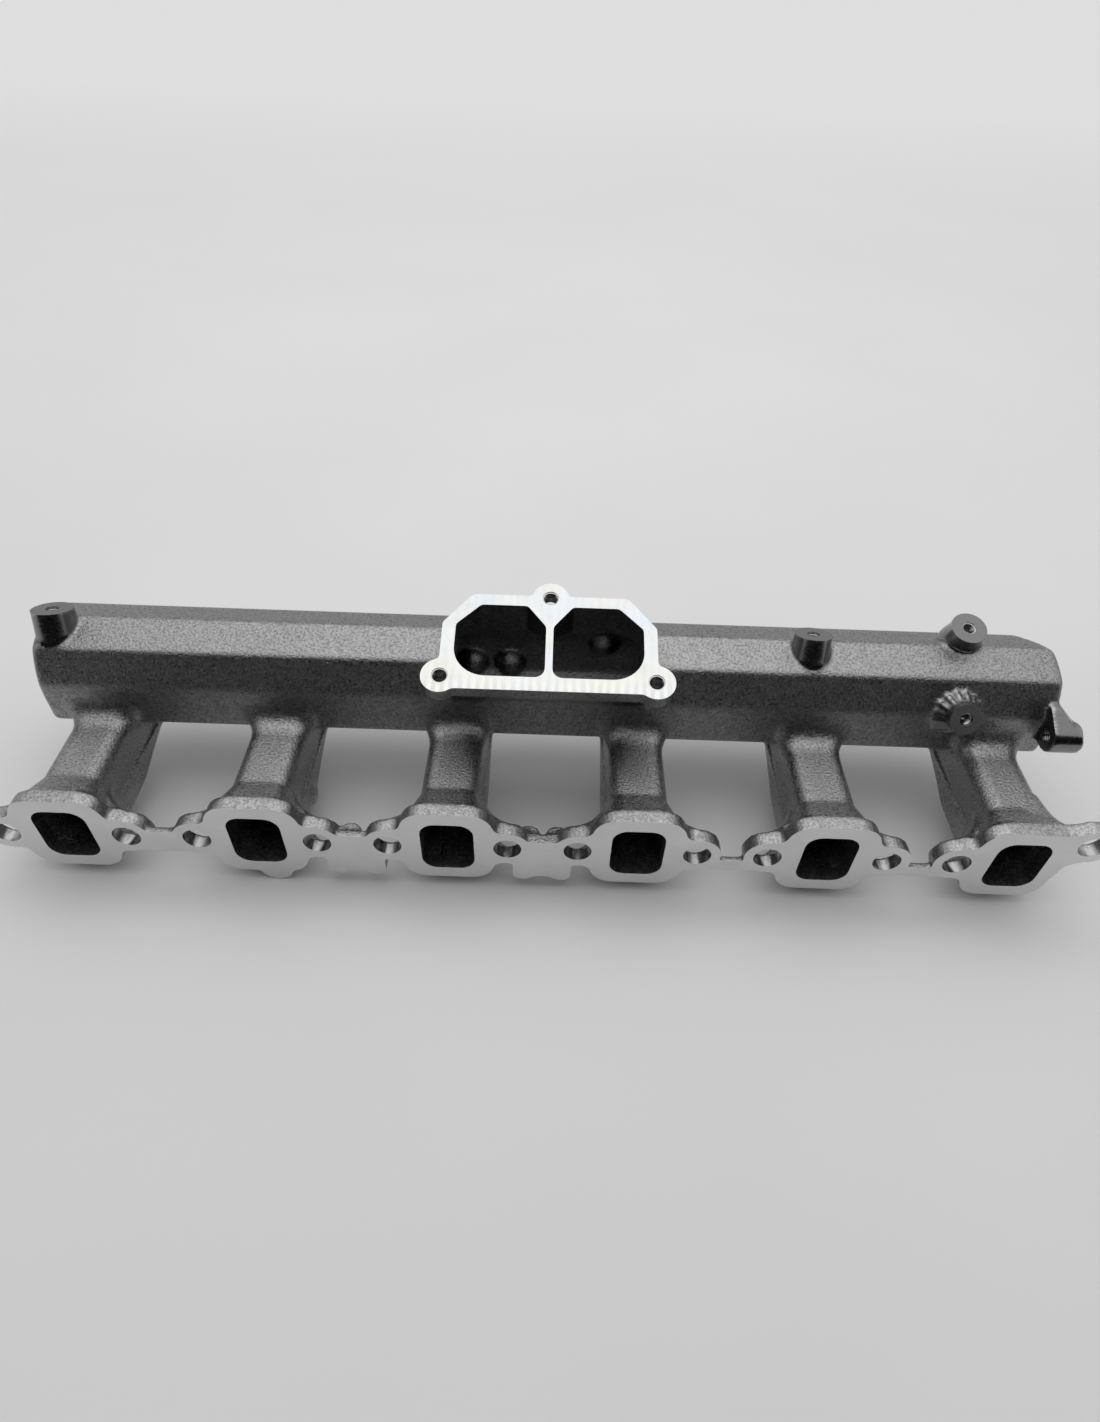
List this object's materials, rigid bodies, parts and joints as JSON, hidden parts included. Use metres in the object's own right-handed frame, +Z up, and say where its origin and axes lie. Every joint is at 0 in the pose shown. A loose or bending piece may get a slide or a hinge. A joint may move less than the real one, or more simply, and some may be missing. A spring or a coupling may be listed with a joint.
{
  "type": "intake manifold",
  "caption": "Cast aluminium intake manifold: long plenum, flared runners, lobed port flange strip, twin-window inlet flange and tapped bracket bosses.",
  "frame": {"origin": "middle of the port flange face, on the bolt line between the two middle ports", "axes": "+X along the row of ports to the end with the ear, -Y out of the port face towards the cylinder head, +Z up to the inlet"},
  "size_m": [0.6593, 0.143, 0.136],
  "materials": {
    "casting": "sand-cast, grainy",
    "port_flange": "satin milled",
    "inlet_face": "bright milled"
  },
  "bodies": {
    "root": {"port_pad_1": "port_flange", "port_pad_2": "port_flange", "port_pad_3": "port_flange", "port_pad_4": "port_flange", "port_pad_5": "port_flange", "port_pad_6": "port_flange", "link_strip_1": "port_flange", "link_strip_2": "port_flange", "link_strip_3": "port_flange", "link_strip_4": "port_flange", "link_strip_5": "port_flange", "runner_1": "casting", "runner_2": "casting", "runner_3": "casting", "runner_4": "casting", "runner_5": "casting", "runner_6": "casting", "plenum_body": "casting", "end_left": "casting", "end_right": "casting", "inlet_flange": "inlet_face", "inlet_neck": "casting", "left_lug": "casting", "mid_boss": "casting", "top_boss": "casting", "front_boss": "casting", "right_ear": "casting", "inner_bosses": "casting", "runner_stub": "casting"}
  },
  "joints": []
}
